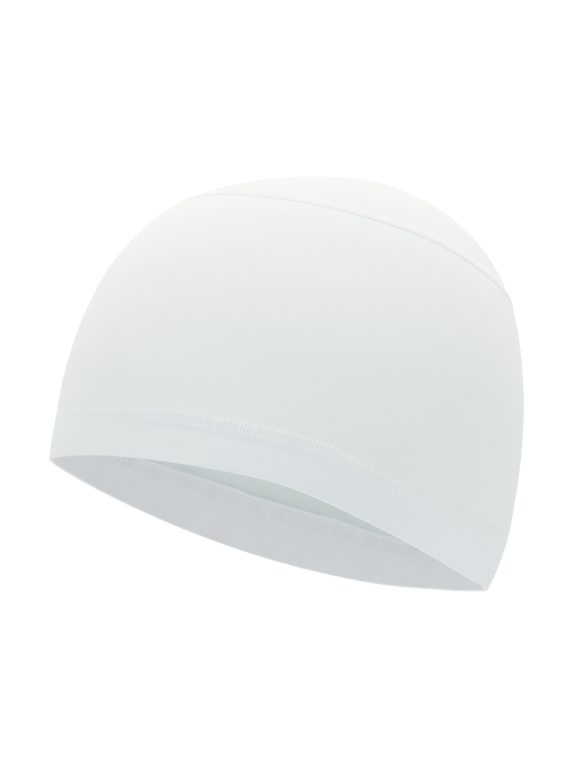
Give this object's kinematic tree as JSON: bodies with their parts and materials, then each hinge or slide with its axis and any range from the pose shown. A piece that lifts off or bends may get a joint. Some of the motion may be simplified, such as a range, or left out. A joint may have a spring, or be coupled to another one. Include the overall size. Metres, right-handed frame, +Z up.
{
  "type": "helmet liner",
  "caption": "Close-fitting stretch liner cap with two side panels, an oval crown gusset and a folded, cover-stitched hem.",
  "frame": {"origin": "the middle of the opening, in the plane of the rim, where a head enters the cap", "axes": "+Z up as worn, -Y towards the brow, +X towards the wearer's left; the rim plane is pitched 17 degrees about X, brow high"},
  "size_m": [0.1548, 0.2015, 0.1784],
  "materials": {
    "panel_jersey": "thin white stretch jersey, matt",
    "gusset_jersey": "thin white stretch jersey, matt",
    "hem_jersey": "white stretch jersey, double layer, matt",
    "thread": "white textured polyester thread"
  },
  "bodies": {
    "root": {"side_panel_left": "panel_jersey", "side_panel_right": "panel_jersey", "crown_gusset": "gusset_jersey", "hem_band": "hem_jersey"}
  },
  "joints": []
}
